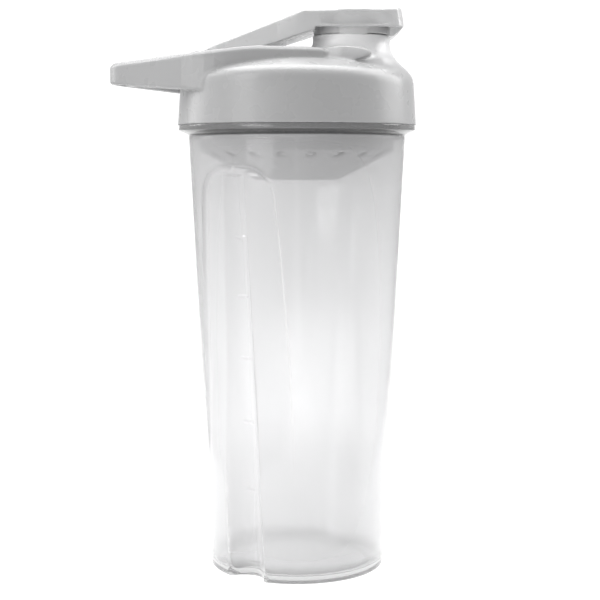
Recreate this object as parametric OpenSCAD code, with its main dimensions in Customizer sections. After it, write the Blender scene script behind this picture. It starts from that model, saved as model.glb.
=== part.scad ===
// Protein shaker bottle: clear tapered cup, screw lid with a carry loop and a drinking spout,
// flip cap on a pin, soft seals and a conical mixing strainer.
// Origin: centre of the underside. +Z up, +X from the axis to the spout, -X to the carry loop.

/* [Cup] */
// Outer radius of the cup wall, carried down to the underside
cup_base_r = 36.9; // [36:0.1:38]
// Outer radius of the cup wall just under the collar
cup_top_r = 45.6; // [45:0.1:46]
// Height of the tapered wall, up to the collar
cup_wall_h = 183.4; // [170:0.1:184]
// Thickness of the cup wall
cup_wall = 1.6; // [1.2:0.1:2]
// Thickness of the cup floor
cup_floor = 2.4; // [1.6:0.1:4]
// Outer radius of the collar that the lid comes down to
collar_r = 49.8; // [49:0.1:50.5]
// Height of the rim above the underside
rim_z = 203; // [202:0.1:203.2]

/* [Grip] */
// Direction of the first grip recess about the axis, from +X; the second one is opposite
grip_dir = 234; // [0:1:359]
// Height of the top of the arched panel
panel_top_z = 171; // [160:0.5:174]
// Half the width of the panel, across its straight part
panel_half_w = 19; // [15:0.5:20]
// Depth of the panel at its top
panel_depth = 1.2; // [0.8:0.1:1.5]
// Radius of the finger flute inside the panel
flute_r = 9.7; // [8.5:0.1:10.5]
// Depth of the flute at the underside
flute_depth = 6.9; // [5:0.1:7.5]
// Height of the top of the flute
flute_top_z = 167.5; // [150:0.5:168]

/* [Lid] */
// Outer radius of the skirt at its lower edge
skirt_bottom_r = 50.2; // [50:0.1:51]
// Outer radius of the skirt under its shoulder
skirt_top_r = 48.9; // [48.5:0.1:49.5]
// Height of the dome over the axis
dome_z = 215; // [214.5:0.1:215.5]
// Wall thickness of the lid
lid_wall = 1.8; // [1.6:0.1:2]
// Distance from the axis to the spout's centre
spout_x = 23.25; // [23:0.05:23.5]
// Outer radius of the spout's rim
spout_rim_r = 16.1; // [16:0.1:16.4]
// Radius of the spout's bore
spout_bore_r = 13.4; // [13.2:0.1:13.6]
// Height of the spout's rim
spout_z = 224.6; // [224.4:0.1:224.7]

/* [Thread] */
// Pitch of the screw thread
thread_pitch = 4; // [3.8:0.1:4.2]
// Turns of the thread ridge on the neck and in the skirt
thread_turns = 1; // [0.75:0.25:1.25]

/* [Carry loop] */
// Radius of the round end of the loop
loop_end_r = 11; // [10:0.5:12]
// Distance from the axis to the centre of the round end
loop_end_x = 67.5; // [64:0.5:68]
// Width of each arm of the loop
loop_arm_w = 8.5; // [8:0.5:9]

/* [Flip cap] */
// Distance from the axis to the hinge
hinge_x = 41; // [40.5:0.1:41]
// Height of the hinge
hinge_z = 213.6; // [213.5:0.1:213.9]
// Radius of the hinge pin
pin_r = 1.5; // [1.2:0.1:1.6]
// Height of the flat top of the hood
cap_top_z = 236; // [235:0.1:237]
// Half the width of the hood
hood_half_w = 18; // [17.8:0.1:18.4]

/* [Strainer] */
// Outer radius of the strainer's round wall
strainer_r = 41; // [40.5:0.1:41.2]
// Height at which the round wall turns into the cone
strainer_knee_z = 177; // [176:0.5:180]
// Height of the flat disc
strainer_disc_z = 165; // [164:0.5:167]
// Outer radius of the flat disc
strainer_disc_r = 17.5; // [16:0.5:19]

/* [Hidden] */
$fn = 96;

// collar, neck and rim of the cup
collar_z = 184.2;
collar_h = 3.3;
collar_edge_z = 185.3;
neck_r = 45.6;
neck_wall = 2;
foot_fillet = 1.6;
wall_slope = (cup_top_r - cup_base_r) / cup_wall_h;

// skirt, shoulder and ceiling of the lid
skirt_z = collar_z + collar_h + 0.15;
shoulder_z = 205.5;
shoulder_r = 3.6;
ceiling_z = 205.2;
gasket_h = ceiling_z - rim_z - 0.2;
spigot_r = 39.4;
spigot_wall = 1.6;
spigot_z = 194;

// thread ridges: the neck's ridge stands out to ridge_out, the skirt's ridge comes in to ridge_in
ridge_out = 46.8;
ridge_in = 46.0;
ridge_root = 0.9;
ridge_z = 191.6;

// hinge
cap_half_w = 13;
ear_gap = 0.4;
ear_w = 3;
barrel_r = 3.7;
ear_r = 3.9;
bore_play = 0.06;
hinge_pocket_r = 4.9;

// flip cap
hood_knee_x = 2.9;
hood_nose_x = 44.8;
cap_wall = 2;
seat_gap = 0.3;
ring_r = 16.15;
ring_z = spout_z + seat_gap;
seal_top_z = 230.7;
roof_fall = 5.5;

// strainer
strainer_wall = 1.3;
strainer_top_z = 203.8;

function wall_r(z) = cup_base_r + wall_slope * z;
function arc(cx, cy, r, a0, a1, n = 8) = [for (i = [0:n]) let (a = a0 + (a1 - a0) * i / n) [cx + r * cos(a), cy + r * sin(a)]];
function bezier(a, b, c, d, n = 14) =
    [for (i = [0:n]) let (t = i / n, s = 1 - t) s * s * s * a + 3 * s * s * t * b + 3 * s * t * t * c + t * t * t * d];
function flip_y(points) = [for (i = [len(points) - 1:-1:0]) [points[i][0], -points[i][1]]];

// Ridge of a screw thread: a sweep with a four-sided section from radius r0 to radius r1
module thread_ridge(r0, r1, z0, root, turns) {
    steps_per_turn = 48;
    steps = steps_per_turn * turns;
    function ridge_tip(i) = r0 + (r1 - r0) * min(1, 0.05 + min(i, steps - i) / 4);
    function section(i) = [[r0, -root], [ridge_tip(i), -root / 2], [ridge_tip(i), root / 2], [r0, root]];
    points = [for (i = [0:steps])
        let (a = 360 * i / steps_per_turn, z = z0 + thread_pitch * i / steps_per_turn)
        for (p = section(i)) [p[0] * cos(a), p[0] * sin(a), z + p[1]]];
    sides = [for (i = [0:steps - 1], k = [0:3])
        [4 * i + k, 4 * i + (k + 1) % 4, 4 * i + 4 + (k + 1) % 4, 4 * i + 4 + k]];
    ends = [[3, 2, 1, 0], [for (k = [0:3]) 4 * steps + k]];
    faces = concat(sides, ends);
    polyhedron(points, r1 > r0 ? faces : [for (f = faces) [for (k = [len(f) - 1:-1:0]) f[k]]]);
}

// --- cup ---

module cup_outside() {
    foot = arc(cup_base_r - foot_fillet + 0.03, foot_fillet, foot_fillet, -90, 0);
    rotate_extrude() polygon(concat(
        [[0, 0]],
        foot,
        [[cup_top_r, cup_wall_h], [collar_r, collar_edge_z], [collar_r, collar_z + collar_h]],
        [[neck_r, collar_z + collar_h], [neck_r, rim_z - 0.8], [neck_r - 0.8, rim_z], [0, rim_z]]));
}

module cup_inside() {
    inner_r = neck_r - neck_wall;
    rotate_extrude() polygon([[0, cup_floor], [wall_r(cup_floor) - cup_wall - 2, cup_floor],
        [wall_r(cup_floor + 2) - cup_wall, cup_floor + 2],
        [wall_r(collar_z) - cup_wall - 0.4, collar_z], [inner_r, collar_z + 6],
        [inner_r, rim_z + 1], [0, rim_z + 1]]);
}

// Arched panel and finger flute, as the solid that they take from the cup; grow thickens it
module grip_cut(grow = 0) {
    panel_low_z = 45;
    lean = atan((flute_depth - 2) / flute_top_z + wall_slope);
    flute_floor_r = cup_base_r - flute_depth;
    corner_r = 10;
    // right edge of the panel: it leans in towards the top and turns over in a round corner
    panel_edge = concat(
        [for (p = [[2.7, panel_low_z], [2.2, 91], [1, 115], [-0.3, 136], [-1.8, 157]]) [panel_half_w + p[0] + grow, p[1]]],
        arc(panel_half_w - 1.9 - corner_r, panel_top_z - 0.5 - corner_r, corner_r + grow, 0, 90, 8));
    rotate([0, 0, grip_dir]) {
        difference() {
            translate([20, 0, 0]) rotate([90, 0, 90]) linear_extrude(height = 40)
                polygon(concat(panel_edge, [for (i = [len(panel_edge) - 1:-1:0]) [-panel_edge[i][0], panel_edge[i][1]]]));
            translate([0, 0, panel_low_z]) cylinder(h = 140,
                r1 = wall_r(panel_low_z) - grow,
                r2 = wall_r(panel_low_z) - grow + 140 * (wall_slope - panel_depth / (panel_top_z - panel_low_z)));
        }
        intersection() {
            translate([flute_floor_r + flute_r, 0, 0]) rotate([0, lean, 0])
                translate([0, 0, -10]) cylinder(h = 190, r = flute_r + grow, $fn = 64);
            translate([0, 0, flute_top_z / 2 - 5]) cube([140, 60, flute_top_z + 2 * grow + 10], center = true);
        }
    }
}

module both_grips(grow = 0) {
    for (turn = [0, 180]) rotate([0, 0, turn]) grip_cut(grow);
}

module cup() {
    color([0.93, 0.94, 0.95, 0.45]) {
        difference() {
            union() {
                cup_outside();
                thread_ridge(neck_r - 0.2, ridge_out, ridge_z + 2, ridge_root, thread_turns);
            }
            difference() {
                cup_inside();
                both_grips(cup_wall);
            }
            both_grips();
        }
    }
}

// --- lid ---

// Points of the lid's outer profile above the skirt, from the shoulder to the axis
function dome_profile(inset) = concat(
    arc(skirt_top_r - shoulder_r, shoulder_z, shoulder_r - inset, 0, 76, 8),
    [[36, 212.2 - inset], [27, 214 - inset], [0, dome_z - inset]]);

module lid_outside() {
    rotate_extrude() polygon(concat([[0, skirt_z], [skirt_bottom_r, skirt_z]], dome_profile(0)));
}

module lid_inside() {
    rotate_extrude() polygon([[0, skirt_z - 1], [skirt_bottom_r - lid_wall, skirt_z - 1],
        [skirt_bottom_r - lid_wall, skirt_z], [skirt_top_r - lid_wall, ceiling_z - 1.5],
        [skirt_top_r - lid_wall - 1.5, ceiling_z], [neck_r - 3.4, ceiling_z],
        [36, 212.2 - lid_wall], [27, 214 - lid_wall], [0, dome_z - lid_wall]]);
}

module spout_outside() {
    waist_r = 15;
    translate([spout_x, 0, 0]) rotate_extrude() polygon(concat(
        [[0, 206], [25.6, 206], [25.4, 207.6], [23.2, 210.2], [20.6, 212.4], [18.2, 214.8], [16.1, 217.6]],
        [[waist_r, 220], [15.2, 221.6], [spout_rim_r, spout_z - 0.9], [spout_rim_r - 0.3, spout_z], [0, spout_z]]));
}

// Space under the flare of the spout, so that the dome and the flare are one even wall
module spout_inside() {
    translate([spout_x, 0, 0]) {
        translate([0, 0, ceiling_z - 12]) cylinder(h = 40, r = spout_bore_r);
        rotate_extrude() polygon([[0, 204], [23, 204], [20, 208], [17, 211.5], [spout_bore_r, 216], [0, 216]]);
    }
}

// Outer edge of one arm of the loop in plan, from its tip beside the spout to the round end
function loop_edge(inset) = let (r = loop_end_r - inset) concat(
    [[12.5, 24 - inset * 0.3]],
    bezier([12.5, 24 - inset * 0.3], [-12, 27 - inset], [-28.8 + inset * 0.6, 42.8 - inset * 1.1],
        [-56 + inset * 0.6, 22.2 - inset * 0.8]),
    arc(-loop_end_x, 0, r, 127, 180, 8));

module loop_plan(inset) {
    edge = loop_edge(inset);
    polygon(concat(edge, flip_y(edge)));
}

// Side view of the loop: the top rises to a low crown beside the spout
module loop_side(drop_top, drop_bottom) {
    rotate([90, 0, 0]) linear_extrude(height = 90, center = true) polygon([
        [-80, 212.4 - drop_top], [-42, 216.3 - drop_top], [-21, 218.3 - drop_top], [0, 218.6 - drop_top],
        [14, 218 - drop_top], [14, 207 - drop_bottom], [-36, 200.6 - drop_bottom], [-80, 204.8 - drop_bottom]]);
}

module loop_arms(inset) {
    difference() {
        linear_extrude(height = 240) loop_plan(inset);
        translate([0, 0, -1]) linear_extrude(height = 242) loop_plan(loop_arm_w - inset);
    }
}

module carry_loop() {
    rib = 2.2;
    difference() {
        intersection() {
            loop_arms(0);
            loop_side(0, 0);
        }
        intersection() {
            loop_arms(rib);
            loop_side(rib, 5);
            translate([-80 - skirt_top_r + 1, -50, 180]) cube([80, 100, 60]);
        }
    }
}

module hinge_ears() {
    for (side = [-1, 1])
        translate([-hinge_x, side * (cap_half_w + ear_gap + ear_w / 2), 0]) rotate([90, 0, 0])
            linear_extrude(height = ear_w, center = true) {
                translate([0, hinge_z]) circle(r = ear_r);
                polygon([[-ear_r, hinge_z], [ear_r, hinge_z], [ear_r + 5, 208.5], [-ear_r, 207]]);
            }
}

module lid() {
    color([0.74, 0.75, 0.76]) {
        difference() {
            union() {
                lid_outside();
                spout_outside();
                carry_loop();
                hinge_ears();
            }
            difference() {
                lid_inside();
                difference() {
                    translate([0, 0, spigot_z]) cylinder(h = 14, r = spigot_r);
                    translate([0, 0, spigot_z - 1]) cylinder(h = 16, r = spigot_r - spigot_wall);
                }
                thread_ridge(skirt_top_r - lid_wall + 0.6, ridge_in, ridge_z, ridge_root, thread_turns);
            }
            spout_inside();
            translate([-hinge_x, 0, hinge_z]) rotate([90, 0, 0]) {
                cylinder(h = 2 * (cap_half_w + ear_gap), r = hinge_pocket_r, center = true);
                cylinder(h = 40, r = pin_r, center = true);
            }
        }
    }
}

module lid_gasket() {
    color([0.55, 0.56, 0.58])
        rotate_extrude() polygon([
            [neck_r - neck_wall - 0.8, rim_z + 0.1], [neck_r - 0.3, rim_z + 0.1],
            [neck_r - 0.3, rim_z + 0.1 + gasket_h], [neck_r - neck_wall - 0.8, rim_z + 0.1 + gasket_h]]);
}

// --- flip cap ---

// Plan of the cap: straight hood sides, an arm that narrows to the hinge, rounded nose corners
module cap_plan(inset) {
    corner_r = 5;
    nose = arc(hood_nose_x - corner_r, hood_half_w - corner_r, corner_r - inset, 0, 90, 6);
    half = concat(nose, [[hood_knee_x, hood_half_w - inset], [-hinge_x + 7, cap_half_w + 1 - inset],
        [-hinge_x + 5, cap_half_w - inset], [-hinge_x - 6, cap_half_w - inset]]);
    polygon(concat(half, flip_y(half)));
}

// Side view of the cap, as a solid across its width
module cap_side(inset) {
    rotate([90, 0, 0]) linear_extrude(height = 60, center = true) polygon([
        [hood_nose_x - 0.6 - inset, cap_top_z + 2], [hood_nose_x - inset, 232], [hood_nose_x - 0.5 - inset, 228.4],
        [39.5 - inset, ring_z - 2 * inset], [7.1 + inset, ring_z + 2.5 - 2 * inset], [-2, 224.4 - 2 * inset],
        [-18, 218.6 - 2 * inset], [-hinge_x + 4 + inset, hinge_z - 1 - 2 * inset],
        [-hinge_x + inset, hinge_z + 3.5 - inset], [-hinge_x + inset, cap_top_z + 2]]);
}

// Space under the cap's top face: the face climbs from the hinge to the hood and falls from a
// ridge along the middle to both sides
module cap_roof(drop) {
    face = [[60, cap_top_z - drop], [hood_nose_x - 0.6, cap_top_z - drop], [hood_knee_x, cap_top_z - 0.8 - drop],
        [-35.3, 220.3 - 1.08 * drop], [-hinge_x, hinge_z + 3.5 - drop], [-60, hinge_z - drop], [-60, 180], [60, 180]];
    intersection_for (side = [-1, 1])
        translate([0, 0, cap_top_z]) rotate([side * roof_fall, 0, 0]) translate([0, 0, -cap_top_z])
            rotate([90, 0, 0]) linear_extrude(height = 70, center = true) polygon(face);
}

module flip_cap() {
    lower_edge_z = 227.3;
    color([0.8, 0.81, 0.82]) {
        difference() {
            union() {
                difference() {
                    intersection() {
                        linear_extrude(height = 250) cap_plan(0);
                        cap_side(0);
                        cap_roof(0);
                    }
                    intersection() {
                        linear_extrude(height = 250) cap_plan(cap_wall);
                        cap_side(cap_wall);
                        cap_roof(cap_wall);
                        translate([-hinge_x + barrel_r + 2, -30, 200]) cube([100, 60, 50]);
                    }
                    // the hood's sides end above the ring that surrounds the spout's rim
                    difference() {
                        translate([7.1, -30, 200]) cube([60, 60, lower_edge_z - 200]);
                        translate([spout_x, 0, 200]) cylinder(h = 40, r = ring_r);
                        translate([36, -9, 200]) cube([20, 18, 40]);
                    }
                }
                intersection() {
                    translate([spout_x, 0, ring_z]) cylinder(h = 30, r = ring_r);
                    cap_roof(1);
                }
                translate([-hinge_x, 0, hinge_z]) rotate([90, 0, 0])
                    cylinder(h = 2 * cap_half_w, r = barrel_r, center = true);
            }
            translate([spout_x, 0, ring_z - 0.1]) cylinder(h = seal_top_z + 0.1 - ring_z, r = 14.1);
            translate([-hinge_x, 0, hinge_z]) rotate([90, 0, 0])
                cylinder(h = 60, r = pin_r + bore_play, center = true);
        }
    }
}

module spout_seal() {
    color([0.62, 0.63, 0.65])
        translate([spout_x, 0, 0]) rotate_extrude() polygon([
            [0, 221], [11.4, 221], [12.5, 222.2], [13.2, ring_z - 0.2], [14, ring_z + 0.2], [14, seal_top_z],
            [0, seal_top_z]]);
}

module hinge_pin() {
    half_len = cap_half_w + ear_gap + ear_w;
    color([0.7, 0.71, 0.72])
        translate([-hinge_x, 0, hinge_z]) rotate([90, 0, 0]) cylinder(h = 2 * half_len, r = pin_r, center = true);
}

// --- strainer ---

module strainer_shell(inset) {
    rotate_extrude() polygon([
        [0, strainer_disc_z + inset], [strainer_disc_r - inset * 0.5, strainer_disc_z + inset],
        [strainer_r - inset, strainer_knee_z + inset * 0.5], [strainer_r - inset, strainer_top_z + inset],
        [0, strainer_top_z + inset]]);
}

module mixing_strainer() {
    hole_r = 2.2;
    // number of holes in each ring, and the ring's radius
    hole_rings = [[6, 6.5], [12, 13], [20, 37]];
    color([0.74, 0.75, 0.76])
        difference() {
            strainer_shell(0);
            strainer_shell(strainer_wall);
            translate([0, 0, 150]) cylinder(h = 30, r = hole_r);
            for (ring = hole_rings)
                for (i = [0:ring[0] - 1])
                    rotate([0, 0, 360 * (i + 0.5) / ring[0]]) translate([ring[1], 0, 150])
                        cylinder(h = 40, r = hole_r, $fn = 32);
        }
}

cup();
lid();
lid_gasket();
flip_cap();
spout_seal();
hinge_pin();
mixing_strainer();
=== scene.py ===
"""Protein shaker bottle: the visual model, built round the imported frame.

Shapes are worked out in millimetres and handed to Blender in metres. The lid, the flip cap and
the strainer are distance fields turned into meshes; the cup is a turned surface with its grip
recesses pressed in.
"""
import math

import bpy
import numpy as np
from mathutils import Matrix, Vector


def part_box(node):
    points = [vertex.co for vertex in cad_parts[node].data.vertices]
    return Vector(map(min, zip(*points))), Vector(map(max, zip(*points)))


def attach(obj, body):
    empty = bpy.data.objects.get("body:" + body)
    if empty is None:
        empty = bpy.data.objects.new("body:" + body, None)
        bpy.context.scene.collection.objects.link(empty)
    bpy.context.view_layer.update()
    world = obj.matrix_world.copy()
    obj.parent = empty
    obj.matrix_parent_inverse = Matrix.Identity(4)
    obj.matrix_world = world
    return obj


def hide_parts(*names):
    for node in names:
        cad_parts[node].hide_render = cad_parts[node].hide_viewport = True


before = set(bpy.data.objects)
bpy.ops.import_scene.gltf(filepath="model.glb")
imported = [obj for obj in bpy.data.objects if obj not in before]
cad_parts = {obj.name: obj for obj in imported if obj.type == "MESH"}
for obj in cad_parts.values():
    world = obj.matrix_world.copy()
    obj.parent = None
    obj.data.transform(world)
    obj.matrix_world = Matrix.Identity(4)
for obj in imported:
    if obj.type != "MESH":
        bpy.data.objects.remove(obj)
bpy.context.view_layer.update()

MM = 0.001
X, Y, Z = 0, 1, 2


# --- places from the frame, in millimetres ---

def box_mm(node):
    low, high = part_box(node)
    return [value / MM for value in low], [value / MM for value in high]


def middle(node, axis):
    low, high = box_mm(node)
    return (low[axis] + high[axis]) / 2


CUP_HIGH = box_mm("cup")[1]
LID_LOW, LID_HIGH = box_mm("lid")
CAP_LOW, CAP_HIGH = box_mm("flip_cap")
PIN_LOW, PIN_HIGH = box_mm("hinge_pin")
SIEVE_LOW, SIEVE_HIGH = box_mm("mixing_strainer")
RIM_Z = CUP_HIGH[Z]
COLLAR_R = CUP_HIGH[Y]
SKIRT_Z = LID_LOW[Z]
SKIRT_R = LID_HIGH[Y]
SPOUT_X = middle("spout_seal", X)
HINGE_X = middle("hinge_pin", X)
HINGE_Z = middle("hinge_pin", Z)
PIN_R = (PIN_HIGH[Z] - PIN_LOW[Z]) / 2
CAP_TOP = CAP_HIGH[Z]
SIEVE_R = SIEVE_HIGH[X]


# --- camera, floor and light ---

CAMERA_LENS = 86.8
CAMERA_SENSOR = 36
CAMERA_PLACE = (0.0013, -0.6147, 0.1713)
CAMERA_TILT = 84.643
FLOOR_HALF = 60.0
FLOOR_LIT = 1.25
FLOOR_SIDE = 0.45
FLOOR_POOL = 0.6
# tone of the surround by direction, from in front of the bottle (0) to behind it (1)
WORLD_TONES = ((0.0, 0.38), (0.3, 0.44), (0.6, 0.52), (0.955, 0.5), (0.985, 1.15), (1.0, 1.15))
# name, place, what it points at, width, height, radiance
LAMPS = (
    ("softbox_left", (-1.0, -0.76, 0.85), (0, 0, 0.2), 0.6, 1.0, 2.7),
    ("strip_left", (-1.15, 0.5, 0.8), (0, 0, 0.2), 0.6, 1.1, 3.6),
    ("softbox_right", (1.15, 0.35, 0.85), (0, 0, 0.2), 0.8, 1.1, 4.6),
    ("strip_front", (-0.76, -0.93, 0.23), (0, 0, 0.187), 0.62, 0.06, 11),
    ("strip_front_low", (-0.76, -0.93, 0.12), (0, 0, 0.17), 0.62, 0.14, 1.7),
    ("softbox_top", (0.0, 0.4, 1.05), (0, 0, 0.2), 1.2, 0.85, 3.6),
)


def add_camera():
    camera = bpy.data.objects.new("camera", bpy.data.cameras.new("camera"))
    camera.data.lens = CAMERA_LENS
    camera.data.sensor_width = CAMERA_SENSOR
    camera.location = CAMERA_PLACE
    camera.rotation_euler = (math.radians(CAMERA_TILT), 0, 0)
    bpy.context.collection.objects.link(camera)
    bpy.context.scene.camera = camera


def add_softbox(name, place, target, width, height, radiance):
    light = bpy.data.lights.new(name, "AREA")
    light.shape = "RECTANGLE"
    light.size = width
    light.size_y = height
    light.energy = radiance * math.pi * width * height
    lamp = bpy.data.objects.new(name, light)
    lamp.location = place
    aim = np.array(target) - np.array(place)
    yaw = math.atan2(aim[1], aim[0]) - math.pi / 2
    tilt = math.atan2(aim[2], math.hypot(aim[0], aim[1])) + math.pi / 2
    lamp.rotation_euler = (tilt, 0, yaw)
    bpy.context.collection.objects.link(lamp)


def add_floor():
    """White floor that shines evenly in view, darker at the sides, with a pool of light behind."""
    half = FLOOR_HALF
    corners = [(-half, -half, 0), (half, -half, 0), (half, half, 0), (-half, half, 0)]
    mesh = bpy.data.meshes.new("floor")
    mesh.from_pydata(corners, [], [(0, 1, 2, 3)])
    floor = bpy.data.objects.new("floor", mesh)
    bpy.context.collection.objects.link(floor)
    material = bpy.data.materials.new("floor_paper")
    material.use_nodes = True
    nodes, links = material.node_tree.nodes, material.node_tree.links
    shader = nodes["Principled BSDF"]
    shader.inputs["Base Color"].default_value = (0.02, 0.02, 0.02, 1)
    shader.inputs["Emission Color"].default_value = (1, 1, 1, 1)
    shader.inputs["Roughness"].default_value = 0.9
    shader.inputs["Specular IOR Level"].default_value = 0.1
    coords = nodes.new("ShaderNodeTexCoord")
    split = nodes.new("ShaderNodeSeparateXYZ")
    links.new(coords.outputs["Object"], split.inputs[0])

    def math_node(operation, *values):
        node = nodes.new("ShaderNodeMath")
        node.operation = operation
        for slot, value in zip(node.inputs, values):
            if isinstance(value, (int, float)):
                slot.default_value = value
            else:
                links.new(value, slot)
        return node.outputs[0]

    side = math_node("ABSOLUTE", split.outputs["X"])
    reach = math_node("MAXIMUM", math_node("ADD", split.outputs["Y"], 0.68), 0.2)
    wedge = math_node("DIVIDE", side, reach)
    evenly = spread(nodes, links, wedge, FLOOR_LIT, FLOOR_SIDE, 0.215, 0.31)
    off_centre = math_node("ABSOLUTE", math_node("SUBTRACT", split.outputs["X"], 0.01))
    across = spread(nodes, links, off_centre, 1, 0, 0.0, 0.085, "SMOOTHSTEP")
    start = spread(nodes, links, split.outputs["Y"], 0, 1, 0.2, 0.42, "SMOOTHSTEP")
    end = spread(nodes, links, split.outputs["Y"], 1, 0, 0.5, 1.5, "SMOOTHSTEP")
    pool = math_node("MULTIPLY", math_node("MULTIPLY", across, start),
                     math_node("MULTIPLY", end, FLOOR_POOL))
    links.new(math_node("ADD", evenly, pool), shader.inputs["Emission Strength"])
    mesh.materials.append(material)


def add_world():
    """Studio surround: a white backdrop behind, darker card at the sides and in front."""
    world = bpy.data.worlds.new("studio")
    bpy.context.scene.world = world
    world.use_nodes = True
    nodes = world.node_tree.nodes
    links = world.node_tree.links
    coords = nodes.new("ShaderNodeTexCoord")
    split = nodes.new("ShaderNodeSeparateXYZ")
    ramp = nodes.new("ShaderNodeValToRGB")
    shift = nodes.new("ShaderNodeMapRange")
    shift.inputs["From Min"].default_value = -1
    shift.inputs["From Max"].default_value = 1
    links.new(coords.outputs["Generated"], split.inputs[0])
    links.new(split.outputs["Y"], shift.inputs["Value"])
    links.new(shift.outputs["Result"], ramp.inputs["Fac"])
    for position, _ in WORLD_TONES[1:-1]:
        ramp.color_ramp.elements.new(position)
    for element, (position, tone) in zip(ramp.color_ramp.elements, WORLD_TONES):
        element.position = position
        element.color = (tone, tone, tone, 1)
    links.new(ramp.outputs["Color"], nodes["Background"].inputs["Color"])
    nodes["Background"].inputs["Strength"].default_value = 1.0


def add_stage():
    add_floor()
    add_world()
    for lamp in LAMPS:
        add_softbox(*lamp)
    scene = bpy.context.scene
    scene.view_settings.view_transform = "Standard"
    scene.view_settings.look = "None"


# --- distance fields, negative inside ---

def soft_min(a, b, k):
    h = np.maximum(k - np.abs(a - b), 0) / k
    return np.minimum(a, b) - h * h * k * 0.25


def soft_max(a, b, k):
    return -soft_min(-a, -b, k)


def outline(px, py, corners):
    """Distance to a closed outline in a plane, negative inside."""
    nearest = np.inf
    inside = False
    for (ax, ay), (bx, by) in zip(corners, corners[1:] + corners[:1]):
        ex, ey = bx - ax, by - ay
        wx, wy = px - ax, py - ay
        along = np.clip((wx * ex + wy * ey) / (ex * ex + ey * ey), 0, 1)
        nearest = np.minimum(nearest, (wx - ex * along) ** 2 + (wy - ey * along) ** 2)
        crosses = (ay > py) != (by > py)
        inside = inside ^ (crosses & (wx < wy * ex / (ey if ey else 1e-9)))
    return np.where(inside, -1.0, 1.0) * np.sqrt(nearest)


def slope_of(shape, points, reach):
    """Gradient of a distance field at each point."""
    grad = np.empty_like(points)
    for axis in range(3):
        step = np.zeros(3)
        step[axis] = reach
        ahead, behind = points + step, points - step
        grad[:, axis] = (shape(*ahead.T) - shape(*behind.T)) / (2 * reach)
    return grad


MARGIN = 2.0
CORNERS = np.array([(i, j, k) for i in (0, 1) for j in (0, 1) for k in (0, 1)])
CELL_EDGES = [(a, b) for a in range(8) for b in range(a + 1, 8)
              if np.abs(CORNERS[a] - CORNERS[b]).sum() == 1]


def net_of(shape, low, high, step):
    """Surface net of a distance field: vertices drawn onto the surface, and four-sided faces."""
    axes = [np.arange(a, b + step, step) for a, b in zip(low, high)]
    sizes = [len(a) for a in axes]
    x, y, z = axes[0][:, None, None], axes[1][None, :, None], axes[2][None, None, :]
    field = np.broadcast_to(shape(x, y, z), sizes).astype(np.float64)
    solid = field < 0
    count = sum(
        solid[i:sizes[0] - 1 + i, j:sizes[1] - 1 + j, k:sizes[2] - 1 + k].astype(np.int8)
        for i, j, k in CORNERS
    )
    mixed = (count > 0) & (count < 8)
    cells = np.argwhere(mixed)
    number = np.full(mixed.shape, -1)
    number[mixed] = np.arange(len(cells))
    values = np.stack([field[tuple((cells + corner).T)] for corner in CORNERS], 1)
    total = np.zeros((len(cells), 3))
    crossings = np.zeros(len(cells))
    for a, b in CELL_EDGES:
        va, vb = values[:, a], values[:, b]
        cut = (va < 0) != (vb < 0)
        t = np.where(cut, va / np.where(cut, va - vb, 1), 0)[:, None]
        total += cut[:, None] * (CORNERS[a] * (1 - t) + CORNERS[b] * t)
        crossings += cut
    points = (cells + total / crossings[:, None]) * step + np.array(low)
    quads = []
    for axis in range(3):
        u, v = (axis + 1) % 3, (axis + 2) % 3
        here = [slice(None)] * 3
        there = [slice(None)] * 3
        here[axis], there[axis] = slice(0, -1), slice(1, None)
        change = solid[tuple(here)] != solid[tuple(there)]
        at = np.argwhere(change)
        low_side = (at[:, u] > 0) & (at[:, v] > 0)
        at = at[low_side & (at[:, u] < sizes[u] - 1) & (at[:, v] < sizes[v] - 1)]
        back_u, back_v = np.zeros(3, int), np.zeros(3, int)
        back_u[u], back_v[v] = 1, 1
        shifts = (back_u + back_v, back_v, 0 * back_u, back_u)
        quad = np.stack([number[tuple((at - shift).T)] for shift in shifts], 1)
        flipped = ~solid[tuple(at.T)]
        quad[flipped] = quad[flipped][:, ::-1]
        quads.append(quad)
    for _ in range(3):
        grad = slope_of(shape, points, 0.05)
        steepness = np.maximum((grad ** 2).sum(1), 0.05)[:, None]
        push = shape(*points.T)[:, None] * grad / steepness
        points -= np.clip(push, -0.4 * step, 0.4 * step)
    return points, np.concatenate(quads)


def add_object(name, points, faces, normals=None):
    mesh = bpy.data.meshes.new(name)
    mesh.from_pydata((points * MM).tolist(), [], faces)
    mesh.validate()
    mesh.shade_smooth()
    if normals is not None:
        mesh.normals_split_custom_set_from_vertices(normals.tolist())
    piece = bpy.data.objects.new(name, mesh)
    bpy.context.collection.objects.link(piece)
    return piece


def add_field_piece(name, shape, low, high, step):
    """Mesh of a distance field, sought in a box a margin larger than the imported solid's."""
    low, high = [v - MARGIN for v in low], [v + MARGIN for v in high]
    points, faces = net_of(shape, low, high, step)
    normals = slope_of(shape, points, 0.12)
    normals /= np.maximum(np.linalg.norm(normals, axis=1), 1e-6)[:, None]
    return add_object(name, points, faces.tolist(), normals)


# --- cup ---

CUP_BASE_R = 36.9
CUP_TOP_R = 45.6
CUP_WALL_H = 183.4
CUP_WALL = 1.6
CUP_FLOOR = 2.4
COLLAR_FOOT_Z = 185.2
FOOT_R = 1.6
NECK_R = 45.6
NECK_WALL = 2.0
GRIP_DIR = math.radians(234)
PANEL_TOP = 171.0
PANEL_LOW = 38.0
PANEL_DEPTH = 1.5
FLUTE_R = 9.7
FLUTE_TOP = 167.5
TICK_VOLUME = 125000.0
TICK_TOP = 142.0
TICK_LOWEST = 30
THREAD_PITCH = 4.0
THREAD_FADE = 0.35
NECK_THREAD_Z = 193.6
FOOT_STEPS = 6
FLOOR_CORNER = 4.0


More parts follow.
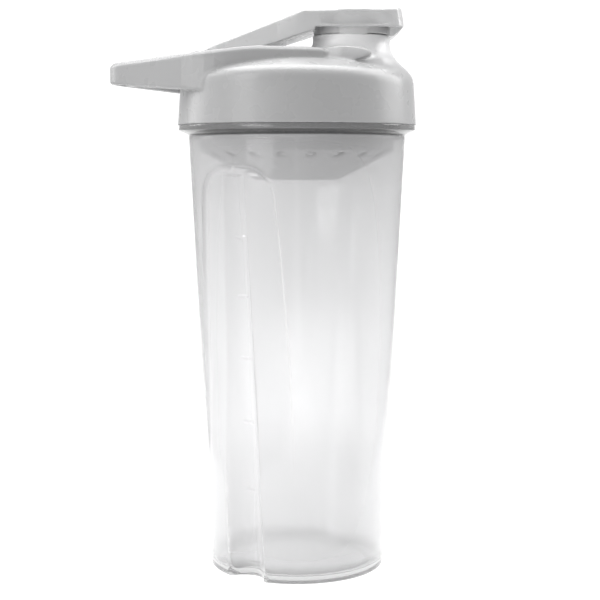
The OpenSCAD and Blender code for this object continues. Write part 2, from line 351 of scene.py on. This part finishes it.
def wall_r(z):
    return CUP_BASE_R + (CUP_TOP_R - CUP_BASE_R) * np.asarray(z, float) / CUP_WALL_H


def smooth_step(t):
    t = np.clip(t, 0, 1)
    return t * t * (3 - 2 * t)


def tick_heights():
    """Heights of the ticks: one step of volume apart, so they spread as the cup narrows."""
    heights = [TICK_TOP]
    while heights[-1] > TICK_LOWEST:
        z = heights[-1]
        for _ in range(3):
            area = math.pi * float(wall_r((z + heights[-1]) / 2) - CUP_WALL) ** 2 * 0.97
            z = heights[-1] - TICK_VOLUME / area
        heights.append(z)
    return heights


TICKS = tick_heights()


def grip_depth(angle, z, inner=False):
    """How deep both grip recesses are pressed into the wall at an angle and a height."""
    half_turn = math.pi
    off = (angle - GRIP_DIR + half_turn / 2) % half_turn - half_turn / 2
    s = off * wall_r(z)
    # panel: a top with round corners, sides that spread and fade downwards
    half_w = 19.0 + 4.7 * (1 - (1 - np.clip((160 - z) / 90, 0, 1)) ** 1.5)
    corner = 10.0
    over_s, over_z = np.abs(s) - half_w + corner, z - PANEL_TOP + 0.01 * s * s + corner
    straight = np.minimum(np.maximum(over_s, over_z), 0)
    edge = -(straight + np.hypot(np.maximum(over_s, 0), np.maximum(over_z, 0)) - corner)
    fade = smooth_step((z - PANEL_LOW) / 55)
    softness = np.where(s > 0, 1.0, 3.2)
    panel = PANEL_DEPTH * fade * smooth_step(edge / softness + 0.3)
    # finger flute: a round channel that deepens towards the foot
    centre = 2.9 + 4.0 * np.clip(1 - z / FLUTE_TOP, 0, 1.02)
    inside = np.maximum(FLUTE_R ** 2 - s ** 2, 0)
    flute = np.sqrt(inside) - FLUTE_R + centre
    top_end = smooth_step((FLUTE_TOP - z) / 1.1)
    flute = np.where(inside > 0, flute, -1) * top_end + panel * (1 - top_end)
    depth = soft_max(panel, flute, 0.5)
    # where panel and flute are level their blend stands this much deeper, so it is taken off again
    dent = 0.5 / 4
    eased = depth - dent * np.clip((0.6 - depth) / 0.46, 0, 1)
    depth = np.where(depth < 0.14, np.maximum(depth - dent, 0), eased)
    if not inner:
        for tick in TICKS:
            tall = smooth_step((0.62 - np.abs(z - tick)) / 0.3)
            wide = smooth_step((3.4 - np.abs(s - 1.6)) / 0.7)
            depth = depth - 0.28 * (tall * wide)
    return depth


def cup_angles():
    """Angles round the cup, closer together across the flutes and along the panels' edges."""
    angles = [0.0]
    while angles[-1] < 2 * math.pi:
        off = abs((angles[-1] - GRIP_DIR + math.pi / 2) % math.pi - math.pi / 2)
        off = math.degrees(off)
        step = 0.6 if off < 15 else 0.9 if off < 25 else 0.4 if off < 37 else 2.2
        angles.append(angles[-1] + math.radians(step))
    return np.array(angles[:-1]) * 2 * math.pi / angles[-1]


def add_cup():
    angles = cup_angles()
    rows = []

    def row(radius, z):
        shape = angles.shape
        rows.append((np.broadcast_to(radius, shape), np.broadcast_to(float(z), shape)))

    # underside, with a shallow turned ring, and the foot's round edge
    for share in (0.0, 0.25, 0.5, 0.7, 0.8):
        row(share * (wall_r(0) - grip_depth(angles, 0.0) - FOOT_R), 0)
    for share, lift in ((0.84, 0.0), (0.855, 0.5), (0.9, 0.5), (0.915, 0.0), (1.0, 0.0)):
        row(share * (wall_r(0) - grip_depth(angles, 0.0) - FOOT_R), lift)
    for i in range(1, FOOT_STEPS):
        turn = math.pi / 2 * i / FOOT_STEPS
        z = FOOT_R * (1 - math.cos(turn))
        row(wall_r(z) - grip_depth(angles, z) - FOOT_R * (1 - math.sin(turn)), z)
    # tapered wall; rows gather at the ticks and round the arch
    heights = set(np.arange(FOOT_R, 146, 3.2).tolist()) | set(np.arange(146, 174, 0.7).tolist())
    heights |= set(np.arange(174, CUP_WALL_H - 1, 2.4).tolist())
    for tick in TICKS:
        if tick < 146:
            heights = {h for h in heights if abs(h - tick) > 1.4}
            heights |= {tick + lift for lift in (-1.1, -0.7, -0.45, 0, 0.45, 0.7, 1.1)}
    for z in sorted(heights):
        row(wall_r(z) - grip_depth(angles, z), z)
    # collar: a slanted underside that flares out from the wall, and a short upright edge
    collar_low, collar_high = COLLAR_FOOT_Z, SKIRT_Z - 0.15
    for share in (0, 0.33, 0.66, 1):
        row(wall_r(CUP_WALL_H) + 0.1 + (COLLAR_R - 0.6 - wall_r(CUP_WALL_H)) * share,
            CUP_WALL_H + 0.2 + (collar_low - CUP_WALL_H - 0.2) * share)
    row(COLLAR_R - 0.1, collar_low + 0.25)
    row(COLLAR_R, collar_low + 0.6)
    for i in range(5):
        turn = math.pi / 2 * i / 4
        row(COLLAR_R - 0.4 * (1 - math.cos(turn)), collar_high - 0.4 * (1 - math.sin(turn)))
    row(NECK_R + 0.5, collar_high)
    # neck with its thread ridge, then the rounded rim
    for z in np.arange(collar_high + 0.5, RIM_Z - 1.0, 0.4):
        climb = NECK_THREAD_Z + THREAD_PITCH * angles / (2 * math.pi)
        ends = np.clip(np.minimum(angles, 2 * math.pi - angles) / THREAD_FADE, 0, 1)
        ridge = 1.2 * ends * smooth_step((0.95 - np.abs(z - climb)) / 0.5)
        row(NECK_R + ridge, z)
    middle_r = NECK_R - NECK_WALL / 2
    for i in range(9):
        turn = math.pi * i / 8
        row(middle_r + NECK_WALL / 2 * math.cos(turn), RIM_Z - 1 + math.sin(turn))
    inner_neck = NECK_R - NECK_WALL
    for z in (198.0, 194.0, 190.2):
        row(inner_neck, z)
    inner_top = float(wall_r(184.2)) - CUP_WALL - 0.4
    row((inner_neck + inner_top) / 2, 187.0)
    # inside of the wall and the floor, which dishes up from a round corner
    for top, foot, drop in ((184.2, 172, 3.0), (172, 146, 1.3), (146, 7, 4.0)):
        for z in np.arange(top, foot, -drop):
            wall = CUP_WALL + 0.4 * smooth_step((z - 150) / 34)
            row(wall_r(z) - wall - grip_depth(angles, z, inner=True), z)
    corner = FLOOR_CORNER
    for i in range(7):
        turn = math.pi / 2 * i / 6
        z = CUP_FLOOR + corner * (1 - math.sin(turn))
        inner_r = wall_r(z) - CUP_WALL - grip_depth(angles, z, inner=True)
        row(inner_r - corner * (1 - math.cos(turn)), z)
    floor_r = wall_r(CUP_FLOOR) - CUP_WALL - corner - grip_depth(angles, CUP_FLOOR, inner=True)
    for share in (0.8, 0.6, 0.35, 0.0):
        row(share * floor_r, CUP_FLOOR)

    columns = len(angles)
    radii = np.array([r for r, _ in rows])
    heights = np.array([z for _, z in rows])
    grid = np.stack([radii * np.cos(angles), radii * np.sin(angles), heights], 2)
    inner_rows = grid[1:-1].reshape(-1, 3)
    points = np.vstack([inner_rows, grid[0, :1], grid[-1, :1]])
    start, end = len(inner_rows), len(inner_rows) + 1
    faces = []
    for i in range(len(rows) - 3):
        for j in range(columns):
            k = (j + 1) % columns
            here, above = i * columns, (i + 1) * columns
            faces.append((here + j, here + k, above + k, above + j))
    last = (len(rows) - 3) * columns
    faces += [(start, (j + 1) % columns, j) for j in range(columns)]
    faces += [(last + j, last + (j + 1) % columns, end) for j in range(columns)]
    return add_object("cup_shell", points, faces)


# --- lid ---

LID_WALL = 1.8
SKIRT_LEAN = 0.0685
CEILING_Z = 205.2
SPOUT_BORE = 13.4
SPOUT_TOP = 224.6
SPOUT_WAIST = 15.4
LOOP_ARM = 8.5
LOOP_TIP_X = 12.5
LOOP_RIB = 2.2
PAD_X, PAD_Z = 18.4, 216.1
PAD_HALF_W, PAD_HALF_H = 11.8, 2.9
EAR_R = 3.9
EAR_MID_Y = 14.9
EAR_HALF = 1.5
SPIGOT_R = 38.6
SPIGOT_LOW = 194
SKIRT_THREAD_Z = 191.6


def bezier(a, b, c, d, steps):
    a, b, c, d = (np.array(p, float) for p in (a, b, c, d))
    rows = []
    for i in range(steps + 1):
        t = i / steps
        s = 1 - t
        rows.append(tuple(s ** 3 * a + 3 * s * s * t * b + 3 * s * t * t * c + t ** 3 * d))
    return rows


def loop_outline():
    """Outer edge of the carry loop in plan: open towards the spout, closed by a round end."""
    side = [(70.0, 22.0), (LOOP_TIP_X, 24.0)]
    side += bezier((LOOP_TIP_X, 24.0), (-12, 27), (-28.8, 42.8), (-56, 22.2), 16)[1:]
    round_end = np.radians(np.linspace(127, 180, 9))
    end = [(-67.5 + 11 * math.cos(a), 11 * math.sin(a)) for a in round_end]
    half = side + end
    return half + [(x, -y) for x, y in half[-2::-1]]


LOOP_OUTLINE = loop_outline()


def dome(rho):
    return 215.2 - 6.0e-5 * rho ** 3


def loop_top(x):
    """Height of the loop's top: a long rise from the round end to a low crown beside the spout."""
    back = np.maximum(-15 - x, 0)
    rise = 219.0 - 0.125 * back + 0.00055 * back * back
    return soft_min(rise, 218.9 - 0.0035 * np.maximum(x, 0) ** 2, 1.0)


def loop_bottom(x):
    return 200.6 + 4.2 * np.clip((-36 - x) / 44, -0.4, 1)


def lid_shape(x, y, z):
    rho = np.sqrt(x * x + y * y)
    skirt = (rho - (SKIRT_R - (z - SKIRT_Z) * SKIRT_LEAN)) * 0.998
    shell = soft_max(skirt, z - dome(rho), 4.5)
    # spout, flared out of the dome
    spout_rho = np.sqrt((x - SPOUT_X) ** 2 + y * y)
    waist = 0.02 * np.clip(z - 220, -7, 0) ** 2 + 0.055 * np.clip(z - 220.2, 0, 5) ** 2
    spout = soft_max(spout_rho - SPOUT_WAIST - waist, z - SPOUT_TOP, 1.0)
    spout = np.maximum(spout, 200 - z)
    shell = soft_min(shell, spout, 13.0)
    shell = soft_max(shell, skirt - 0.25, 1.0)
    # low pads where the loop's arms run out beside the spout
    ay = np.abs(y)
    pad = (np.sqrt(((x - PAD_X) / PAD_HALF_W) ** 2 + ((z - PAD_Z) / PAD_HALF_H) ** 2) - 1) * 2.8
    pad_face = ay - 22.2 - 3.4 * smooth_step((x - 11) / 8) + 0.5 * (z - 216.3)
    pad = soft_max(pad, pad_face * 0.894, 0.7)
    shell = soft_min(shell, np.maximum(pad, 14 - ay), 1.6)
    # carry loop
    plan = outline(x, y, LOOP_OUTLINE)
    arm = LOOP_ARM - 4.2 * np.clip((x + 24) / 36, 0, 1)
    ring = np.maximum(plan, -(plan + arm))
    ring = soft_max(ring, x - LOOP_TIP_X, 2.5)
    top, bottom = loop_top(x), loop_bottom(x)
    loop = soft_max(ring, z - top, 0.5)
    loop = soft_max(loop, (ring + z - top) * 0.7071 + 1.1, 0.4)
    loop = soft_max(loop, bottom - z, 0.3)
    loop = soft_max(loop, (plan + bottom - z) * 0.7071 + 0.45, 0.2)
    channel = np.maximum(np.maximum(plan, -(plan + arm)) + LOOP_RIB, z - top + LOOP_RIB)
    channel = np.maximum(channel, skirt * -1 + 1.6)
    loop = soft_max(loop, -channel, 0.7)
    shell = soft_min(shell, loop, 1.0)
    # ears that carry the hinge pin
    hinge_rho = np.sqrt((x - HINGE_X) ** 2 + (z - HINGE_Z) ** 2)
    ear_y = np.abs(ay - EAR_MID_Y) - EAR_HALF
    ear = hinge_rho - EAR_R
    foot_side = np.abs(x - HINGE_X - 1.5) - (3.4 + 0.55 * (HINGE_Z - z))
    foot = np.maximum(foot_side, np.maximum(z - HINGE_Z, 206 - z))
    ear = soft_max(soft_min(ear, foot, 1.0), ear_y, 0.7)
    shell = soft_min(shell, ear, 1.0)
    # inside of the skirt and the dome, with the ring that the strainer is pushed onto
    inner_side = rho - (SKIRT_R - LID_WALL - (z - SKIRT_Z) * SKIRT_LEAN)
    ceiling = np.where(rho > 42.2, z - CEILING_Z, z - dome(rho) + LID_WALL)
    hollow = soft_max(inner_side, ceiling, 1.2)
    spigot = np.maximum(np.abs(rho - SPIGOT_R) - 0.8, SPIGOT_LOW - z)
    hollow = np.maximum(hollow, -spigot)
    turn = np.arctan2(y, x) % (2 * math.pi)
    climb = SKIRT_THREAD_Z + THREAD_PITCH * turn / (2 * math.pi)
    lead = np.clip(np.minimum(turn, 2 * math.pi - turn) / THREAD_FADE, 0, 1)
    ridge = np.abs(z - climb) - 0.9 + (47.6 - rho) * 0.25
    thread = np.maximum(ridge, 46.0 + 2 * (1 - lead) - rho)
    hollow = np.maximum(hollow, -thread)
    shell = soft_max(shell, -hollow, 0.4)
    shell = np.maximum(shell, SKIRT_Z - z)
    bore = np.maximum(spout_rho - SPOUT_BORE, 190 - z)
    flare_r = SPOUT_BORE + 0.75 * np.maximum(216 - z, 0)
    flare = np.maximum(spout_rho - flare_r, np.maximum(z - 216, 204 - z))
    shell = soft_max(shell, -np.minimum(bore, flare), 0.7)
    # pocket for the cap's barrel, and the pin's hole through both ears
    shell = soft_max(shell, -np.maximum(hinge_rho - 4.9, ay - 13.4), 0.5)
    return np.maximum(shell, -np.maximum(hinge_rho - PIN_R, ay - 17.5))


# --- flip cap ---

CAP_WALL = 2.0
RING_R = 16.15
RING_LOW = 224.9
HOOD_LOW = 227.3
# outline seen from the side: chin, underside of the arm, hinge end, top
CAP_SIDE = [(44.2, 236.0), (44.8, 232.0), (44.3, 228.4), (39.5, 224.4), (7.1, 227.4), (-2, 224.4),
            (-18, 218.6), (-37, 212.6), (-41, 217.1), (-35.3, 220.3), (2.9, 235.2)]
# outline seen from above
CAP_PLAN = [(44.8, 18), (2.9, 18), (-34, 14), (-36, 13), (-47, 13), (-47, -13), (-36, -13),
            (-34, -14), (2.9, -18), (44.8, -18)]
BARREL_R = 3.7
BORE_PLAY = 0.06
SCOOP_DEPTH = 1.9


def flip_cap_shape(x, y, z):
    ay = np.abs(y)
    # the top face falls from its middle to both sides
    crown = 0.0048 * y * y
    side = outline(x, z + crown * np.clip((z - 214) / 8, 0, 1), CAP_SIDE)
    # the sides lean in towards the top, and each has a shallow scoop for the finger that lifts it
    lean_from = np.clip(212.6 + 0.26 * (x + 37), 212.6, 226.5)
    lean = (0.18 + 0.12 * np.clip(-x / 8, 0, 1)) * np.clip(z - lean_from, 0, 10)
    scoop_long = smooth_step((x - 8) / 9) * smooth_step((40 - x) / 8)
    scoop_tall = smooth_step((233.4 - z) / 4.2) * smooth_step(z - 228)
    lean += SCOOP_DEPTH * (scoop_long * scoop_tall)
    plan = soft_max(outline(x, y, CAP_PLAN), (x + ay - 57.8) * 0.7071, 4.0) + lean
    body = soft_max(side, plan, 0.9)
    roof = np.maximum(z - CAP_TOP, 0.93 * (z - 220.3) - 0.37 * (x + 35.3)) + crown + CAP_WALL
    hollow = np.maximum(np.maximum(roof, plan + CAP_WALL), np.maximum(7.4 - x, x - 38))
    body = soft_max(body, -hollow, 0.5)
    # hood's sides end above the ring that grips the spout; the chin runs down in front of it
    spout_rho = np.sqrt((x - SPOUT_X) ** 2 + y * y)
    chin = np.maximum(37 - x, ay - 13)
    cut = np.maximum(np.maximum(7.6 - x, z - HOOD_LOW), -np.minimum(spout_rho - RING_R, chin))
    body = soft_max(body, -cut, 0.5)
    ring = soft_max(spout_rho - RING_R, np.maximum(RING_LOW - z, roof - 1), 0.4)
    body = soft_min(body, ring, 2.0)
    hinge_rho = np.sqrt((x - HINGE_X) ** 2 + (z - HINGE_Z) ** 2)
    barrel = soft_max(hinge_rho - BARREL_R, ay - 13, 0.6)
    body = soft_min(body, barrel, 1.2)
    pocket = np.maximum(spout_rho - 14.1, z - 230.7)
    body = soft_max(body, -pocket, 0.4)
    return np.maximum(body, -(hinge_rho - PIN_R - BORE_PLAY))


# --- strainer ---

SIEVE_WALL = 1.3
SIEVE_HOLE_R = 2.2
# holes in each ring, and the ring's radius
SIEVE_RINGS = ((6, 6.5), (12, 13.0), (20, 37.0))


def strainer_shape(x, y, z):
    rho = np.sqrt(x * x + y * y)
    low = SIEVE_LOW[Z]
    profile = [(-50, low), (17.5, low), (SIEVE_R, low + 12), (SIEVE_R, 240), (-50, 240)]
    side = outline(rho, z, profile)
    shell = soft_max(np.maximum(side, -(side + SIEVE_WALL)), z - SIEVE_HIGH[Z], 0.5)
    turn = np.arctan2(y, x)
    holes = rho - SIEVE_HOLE_R
    for count, radius in SIEVE_RINGS:
        step = 2 * math.pi / count
        local = turn % step - step / 2
        off_centre = np.hypot(rho * np.cos(local) - radius, rho * np.sin(local))
        holes = np.minimum(holes, off_centre - SIEVE_HOLE_R)
    return soft_max(shell, -np.maximum(holes, z - low - 16), 0.5)


# --- materials ---

def new_material(name):
    material = bpy.data.materials.new(name)
    material.use_nodes = True
    return material, material.node_tree.nodes, material.node_tree.links


def noise(nodes, links, scale, detail=3.0):
    """A noise that is fixed to the piece, in metres."""
    coords = nodes.new("ShaderNodeTexCoord")
    texture = nodes.new("ShaderNodeTexNoise")
    texture.inputs["Scale"].default_value = scale
    texture.inputs["Detail"].default_value = detail
    links.new(coords.outputs["Object"], texture.inputs["Vector"])
    return texture.outputs["Fac"]


def spread(nodes, links, value, low, high, start=0.3, end=0.7, easing="LINEAR"):
    ranged = nodes.new("ShaderNodeMapRange")
    ranged.interpolation_type = easing
    ranged.inputs["From Min"].default_value = start
    ranged.inputs["From Max"].default_value = end
    ranged.inputs["To Min"].default_value = low
    ranged.inputs["To Max"].default_value = high
    links.new(value, ranged.inputs["Value"])
    return ranged.outputs["Result"]


def tint(nodes, links, value, dark, light):
    mix = nodes.new("ShaderNodeMix")
    mix.data_type = "RGBA"
    mix.inputs["A"].default_value = (*dark, 1)
    mix.inputs["B"].default_value = (*light, 1)
    links.new(value, mix.inputs["Factor"])
    return mix.outputs["Result"]


def laid_over(nodes, links, below, factor, colour):
    """A colour laid over a tone, as far as a factor says."""
    mix = nodes.new("ShaderNodeMix")
    mix.data_type = "RGBA"
    mix.inputs["B"].default_value = (*colour, 1)
    links.new(factor, mix.inputs["Factor"])
    links.new(below, mix.inputs["A"])
    return mix.outputs["Result"]


def bump(nodes, links, value, strength, distance, shader):
    node = nodes.new("ShaderNodeBump")
    node.inputs["Strength"].default_value = strength
    node.inputs["Distance"].default_value = distance
    links.new(value, node.inputs["Height"])
    links.new(node.outputs["Normal"], shader.inputs["Normal"])


def moulded_plastic(name, dark, light, rough, grain=0.12, spout_painted_light=None):
    """Satin moulded plastic: a fine spark-eroded grain, slow changes of tone and gloss, and, when
    a spout tone is given, a painted light round the spout.
    """
    material, nodes, links = new_material(name)
    shader = nodes["Principled BSDF"]
    slow = spread(nodes, links, noise(nodes, links, 28.0), 0, 1)
    base = tint(nodes, links, slow, dark, light)
    if spout_painted_light:
        # painted light: the spout and the dome round it are painted paler than the skirt, to stand
        # for light that reaches them under the hood
        coords = nodes.new("ShaderNodeTexCoord")
        reach = nodes.new("ShaderNodeVectorMath")
        reach.operation = "DISTANCE"
        links.new(coords.outputs["Object"], reach.inputs[0])
        reach.inputs[1].default_value = (SPOUT_X * MM, 0, (SPOUT_TOP + 6) * MM)
        near = spread(nodes, links, reach.outputs["Value"], 1, 0, 21 * MM, 31 * MM)
        base = laid_over(nodes, links, base, near, spout_painted_light)
    links.new(base, shader.inputs["Base Color"])
    worn = noise(nodes, links, 110.0, 2.0)
    links.new(spread(nodes, links, worn, rough - 0.03, rough + 0.04), shader.inputs["Roughness"])
    shader.inputs["IOR"].default_value = 1.49
    shader.inputs["Subsurface Weight"].default_value = 0.08
    shader.inputs["Subsurface Radius"].default_value = (1, 1, 1)
    shader.inputs["Subsurface Scale"].default_value = 0.002
    bump(nodes, links, noise(nodes, links, 1500.0, 1.0), grain, 0.00006, shader)
    return material


def clear_plastic():
    """Clear moulded plastic: glossy, a little grey, with painted shade by height, faint flow waves
    and fine scuffs.
    """
    material, nodes, links = new_material("clear_plastic")
    shader = nodes["Principled BSDF"]
    slow = spread(nodes, links, noise(nodes, links, 22.0), 0, 1)
    pale = tint(nodes, links, slow, (0.38, 0.381, 0.383), (0.4, 0.401, 0.403))
    coords = nodes.new("ShaderNodeTexCoord")
    split = nodes.new("ShaderNodeSeparateXYZ")
    links.new(coords.outputs["Object"], split.inputs[0])
    height = split.outputs["Z"]

    def painted_shade_band(start, end, below, tone):
        """Another tone above a height: a painted shade."""
        above = spread(nodes, links, height, 0, 1, start * MM, end * MM)
        return laid_over(nodes, links, below, above, (tone, tone, tone * 1.005))

    # painted shade: the cup is darkest under the foot, greyer at the foot and towards the top,
    # where the wall is also thicker, and palest between; the collar's slanted underside is painted
    # dark for the shade under it, and its edge a paler painted grey
    pale = painted_shade_band(2, 8, pale, 0.8)
    pale = painted_shade_band(8, 60, pale, 0.92)
    pale = painted_shade_band(100, 190, pale, 0.79)
    pale = painted_shade_band(CUP_WALL_H - 0.4, CUP_WALL_H + 0.1, pale, 0.1)
    pale = painted_shade_band(COLLAR_FOOT_Z - 0.1, COLLAR_FOOT_Z + 0.3, pale, 0.5)
    links.new(pale, shader.inputs["Base Color"])
    scuffs = noise(nodes, links, 300.0, 6.0)
    links.new(spread(nodes, links, scuffs, 0.1, 0.18, 0.35, 0.75), shader.inputs["Roughness"])
    shader.inputs["IOR"].default_value = 1.22
    shader.inputs["Coat Weight"].default_value = 0.5
    shader.inputs["Coat IOR"].default_value = 1.5
    shader.inputs["Coat Roughness"].default_value = 0.06
    shader.inputs["Transmission Weight"].default_value = 0.72
    bump(nodes, links, noise(nodes, links, 55.0, 1.0), 0.12, 0.0006, shader)
    # lamps and scattered light pass straight through, as they do through a thin clear wall
    path = nodes.new("ShaderNodeLightPath")
    either = nodes.new("ShaderNodeMath")
    either.operation = "MAXIMUM"
    links.new(path.outputs["Is Shadow Ray"], either.inputs[0])
    links.new(path.outputs["Is Diffuse Ray"], either.inputs[1])
    clear = nodes.new("ShaderNodeBsdfTransparent")
    clear.inputs["Color"].default_value = (0.95, 0.95, 0.95, 1)
    mix = nodes.new("ShaderNodeMixShader")
    links.new(either.outputs[0], mix.inputs[0])
    links.new(shader.outputs[0], mix.inputs[1])
    links.new(clear.outputs[0], mix.inputs[2])
    links.new(mix.outputs[0], nodes["Material Output"].inputs["Surface"])
    return material


def silicone():
    material, nodes, links = new_material("silicone")
    shader = nodes["Principled BSDF"]
    slow = spread(nodes, links, noise(nodes, links, 60.0), 0, 1)
    base = tint(nodes, links, slow, (0.42, 0.42, 0.43), (0.47, 0.47, 0.48))
    links.new(base, shader.inputs["Base Color"])
    gloss = spread(nodes, links, noise(nodes, links, 700.0), 0.5, 0.62)
    links.new(gloss, shader.inputs["Roughness"])
    bump(nodes, links, noise(nodes, links, 1800.0), 0.1, 0.0001, shader)
    return material


def drawn_steel():
    """Steel wire with lines drawn along its length."""
    material, nodes, links = new_material("drawn_steel")
    shader = nodes["Principled BSDF"]
    coords = nodes.new("ShaderNodeTexCoord")
    stretch = nodes.new("ShaderNodeMapping")
    stretch.inputs["Scale"].default_value = (4000, 60, 4000)
    texture = nodes.new("ShaderNodeTexNoise")
    texture.inputs["Scale"].default_value = 1.0
    links.new(coords.outputs["Object"], stretch.inputs["Vector"])
    links.new(stretch.outputs["Vector"], texture.inputs["Vector"])
    base = tint(nodes, links, texture.outputs["Fac"], (0.5, 0.5, 0.51), (0.7, 0.7, 0.71))
    links.new(base, shader.inputs["Base Color"])
    links.new(spread(nodes, links, texture.outputs["Fac"], 0.22, 0.38), shader.inputs["Roughness"])
    shader.inputs["Metallic"].default_value = 1.0
    return material


def dress_node(node, material):
    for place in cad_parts[node].material_slots:
        place.material = material


# --- building ---

def settle(piece, body, node, material):
    piece.data.materials.append(material)
    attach(piece, body)
    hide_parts(node)


def soften(node, width):
    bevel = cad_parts[node].modifiers.new("edge", "BEVEL")
    bevel.width = width * MM
    bevel.segments = 3
    bevel.limit_method = "ANGLE"
    bevel.angle_limit = math.radians(35)


add_camera()
add_stage()

# the lid's plastic carries a painted light round its spout
LID_GREY = moulded_plastic("lid_plastic", (0.48, 0.481, 0.484), (0.495, 0.496, 0.5), 0.28,
                           spout_painted_light=(0.96, 0.961, 0.965))
CAP_GREY = moulded_plastic("cap_plastic", (0.66, 0.661, 0.664), (0.675, 0.676, 0.679), 0.28)
# painted shade: the strainer is given a dark grey for the shade it sits in, under the lid and
# inside the cup
SIEVE_PAINTED_SHADE = moulded_plastic("strainer_plastic", (0.25, 0.251, 0.255), (0.27, 0.271, 0.275), 0.45)

settle(add_cup(), "cup", "cup", clear_plastic())

LID_STEP, CAP_STEP, SIEVE_STEP = ((0.7, 0.55, 0.65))
lid = add_field_piece("lid_shell", lid_shape, LID_LOW, LID_HIGH, LID_STEP)
settle(lid, "lid", "lid", LID_GREY)
cap = add_field_piece("flip_cap_shell", flip_cap_shape, CAP_LOW, CAP_HIGH, CAP_STEP)
settle(cap, "flip_cap", "flip_cap", CAP_GREY)
sieve = add_field_piece("strainer_shell", strainer_shape, SIEVE_LOW, SIEVE_HIGH, SIEVE_STEP)
settle(sieve, "strainer", "mixing_strainer", SIEVE_PAINTED_SHADE)

SEAL = silicone()
dress_node("lid_gasket", SEAL)
dress_node("spout_seal", SEAL)
dress_node("hinge_pin", drawn_steel())
soften("lid_gasket", 0.3)
soften("spout_seal", 0.4)
soften("hinge_pin", 0.3)
